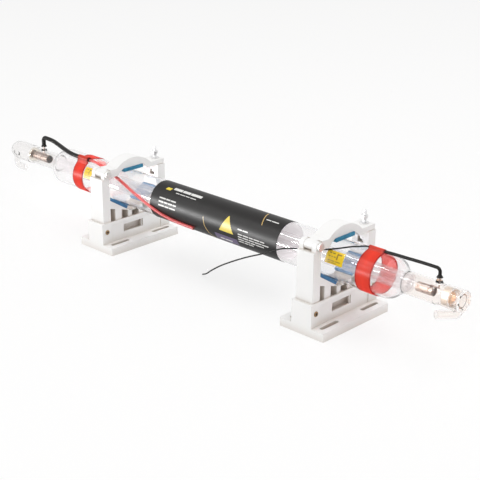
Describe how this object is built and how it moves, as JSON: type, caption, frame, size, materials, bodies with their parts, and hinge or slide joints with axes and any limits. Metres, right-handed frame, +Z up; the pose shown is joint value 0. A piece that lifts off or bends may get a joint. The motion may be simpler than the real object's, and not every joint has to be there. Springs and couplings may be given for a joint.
{
  "type": "co2 laser tube",
  "caption": "Water-cooled glass CO2 laser tube with black label sleeve, electrode leads and hooked water nozzles, resting in white clamp supports.",
  "frame": {"origin": "on the bench under the tube's axis, halfway between the two ends of the glass", "axes": "+X along the tube towards the end where the beam leaves; +Y across the tube, away from the arches' hinges; +Z up"},
  "size_m": [0.81, 0.12, 0.123],
  "materials": {
    "clear_glass": "clear borosilicate, fire-polished",
    "seat_metal": "fine turned",
    "amber_optic": "polished zinc selenide, amber",
    "electrode_metal": "drawn sheet and rod, slightly tarnished",
    "mirror_face": "coated and polished",
    "black_film": "glossy black film with plain printed shapes",
    "red_band": "translucent red elastic",
    "yellow_film": "yellow sticker",
    "black_rubber": "satin black sleeve",
    "red_silicone": "satin red silicone",
    "white_plastic": "white moulded, fine satin",
    "zinc_steel": "zinc plated",
    "dark_steel": "blackened head",
    "bronze_steel": "yellow passivated",
    "blue_rubber": "matt blue rubber"
  },
  "bodies": {
    "root": {"gas_jacket": "clear_glass", "water_jacket": "clear_glass", "discharge_bore": "clear_glass", "gas_return_tube": "clear_glass", "front_head": "clear_glass", "coupler_seat": "seat_metal", "output_coupler": "amber_optic", "cooling_spool": "clear_glass", "cathode": "electrode_metal", "cathode_pin": "electrode_metal", "rear_head": "clear_glass", "rear_mirror": "mirror_face", "anode": "electrode_metal", "anode_pin": "electrode_metal", "label_sleeve": "black_film", "front_band": "red_band", "rear_band": "red_band", "front_sticker": "yellow_film", "rear_sticker": "yellow_film", "cathode_boot": "black_rubber", "cathode_sleeve": "black_rubber", "black_lead": "black_rubber", "anode_boot": "black_rubber", "anode_sleeve": "black_rubber", "red_lead": "red_silicone", "front_foot": "white_plastic", "front_cradle": "white_plastic", "front_arch": "white_plastic", "front_hinge_pin": "dark_steel", "front_stud": "zinc_steel", "front_nut": "zinc_steel", "front_washer": "zinc_steel", "front_captive_nut": "zinc_steel", "front_top_pad": "blue_rubber", "front_near_pad": "blue_rubber", "front_far_pad": "blue_rubber", "front_lock_screws": "bronze_steel", "rear_foot": "white_plastic", "rear_cradle": "white_plastic", "rear_arch": "white_plastic", "rear_hinge_pin": "dark_steel", "rear_stud": "zinc_steel", "rear_nut": "zinc_steel", "rear_washer": "zinc_steel", "rear_captive_nut": "zinc_steel", "rear_top_pad": "blue_rubber", "rear_near_pad": "blue_rubber", "rear_far_pad": "blue_rubber", "rear_lock_screws": "bronze_steel"}
  },
  "joints": []
}
